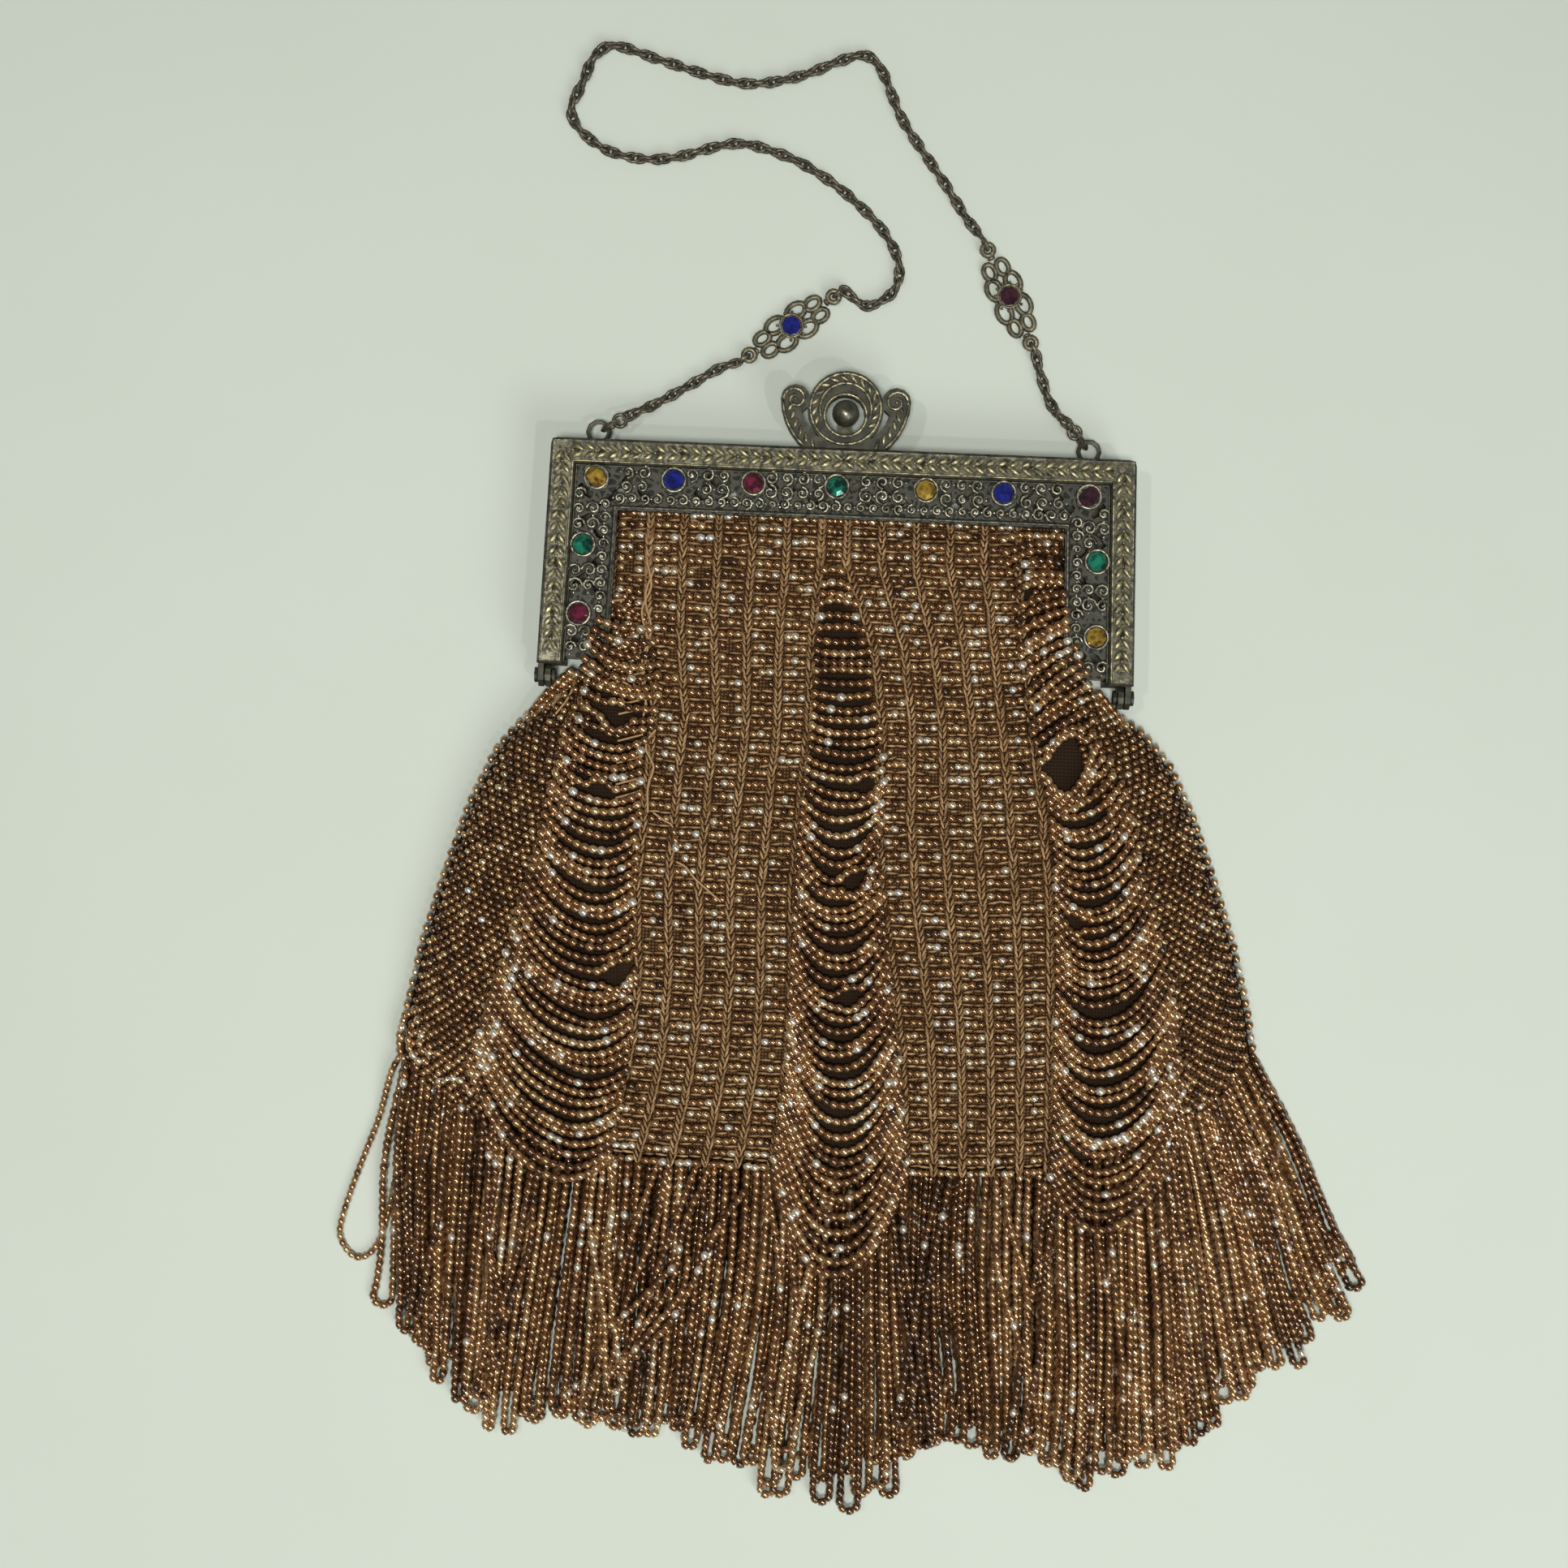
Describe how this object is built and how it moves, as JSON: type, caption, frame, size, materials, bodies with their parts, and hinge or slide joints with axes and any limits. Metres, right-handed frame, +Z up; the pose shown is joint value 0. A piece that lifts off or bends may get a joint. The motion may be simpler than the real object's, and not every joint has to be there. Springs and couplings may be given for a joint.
{
  "type": "beaded flapper purse",
  "caption": "Knitted bead pouch bag of about 1920 with a jewelled filigree frame, clasp, chain handle, draped bead swags and long looped fringe, lying on its back.",
  "frame": {"origin": "on the surface the purse lies on, under the middle of its whole outline", "axes": "+X across the frame to the right as seen from the front, +Y up the purse from the fringe to the clasp and handle, +Z up out of the surface, the way the front faces"},
  "size_m": [0.2286, 0.3192, 0.0165],
  "materials": {
    "tarnished_brass": "tarnished cast and stamped brass, worn bright on the relief",
    "bead_knit": "silk thread knitted with amber glass beads",
    "bead_strands": "strands of amber glass beads",
    "amber": "faceted, foil-backed",
    "blue": "faceted, foil-backed",
    "ruby": "faceted, foil-backed",
    "green": "faceted, foil-backed",
    "violet": "faceted, foil-backed"
  },
  "bodies": {
    "root": {"frame_front": "tarnished_brass", "frame_back": "tarnished_brass", "filigree_front": "tarnished_brass", "filigree_back": "tarnished_brass", "hinge_pin_left": "tarnished_brass", "hinge_pin_right": "tarnished_brass", "clasp_ball": "tarnished_brass", "stone_amber_corner": "amber", "stone_blue_left": "blue", "stone_ruby_bar": "ruby", "stone_green_bar": "green", "stone_amber_bar": "amber", "stone_blue_right": "blue", "stone_violet_corner": "violet", "stone_green_left": "green", "stone_ruby_left": "ruby", "stone_green_right": "green", "stone_amber_right": "amber", "jump_ring_left": "tarnished_brass", "jump_ring_right": "tarnished_brass", "chain_left": "tarnished_brass", "chain_middle": "tarnished_brass", "chain_right": "tarnished_brass", "medallion_left": "tarnished_brass", "medallion_right": "tarnished_brass", "stone_blue_handle": "blue", "stone_violet_handle": "violet", "bag": "bead_knit", "swags_left": "bead_strands", "swags_centre": "bead_strands", "swags_right": "bead_strands", "fringe": "bead_strands", "stray_loop": "bead_strands"}
  },
  "joints": []
}
